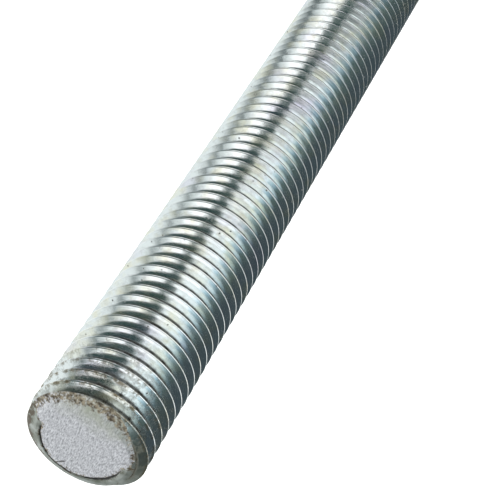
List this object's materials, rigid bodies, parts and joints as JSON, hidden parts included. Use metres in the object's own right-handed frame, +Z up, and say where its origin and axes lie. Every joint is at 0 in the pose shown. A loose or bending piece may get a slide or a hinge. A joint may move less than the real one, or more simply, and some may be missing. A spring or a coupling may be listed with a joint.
{
  "type": "threaded rod",
  "caption": "Fully threaded round steel rod with a right-hand metric coarse thread, cut square with a deburred edge at both ends.",
  "frame": {"origin": "centre of the lower cut face, on which the rod stands", "axes": "+Z up along the rod's axis, towards the worn end that the picture shows; a thread crest meets the lower face's plane on the +X side"},
  "size_m": [0.016, 0.016, 0.12],
  "materials": {
    "zinc_plated_steel": "bright zinc plate, worn and stained round the cut end"
  },
  "bodies": {
    "root": {"threaded_rod": "zinc_plated_steel"}
  },
  "joints": []
}
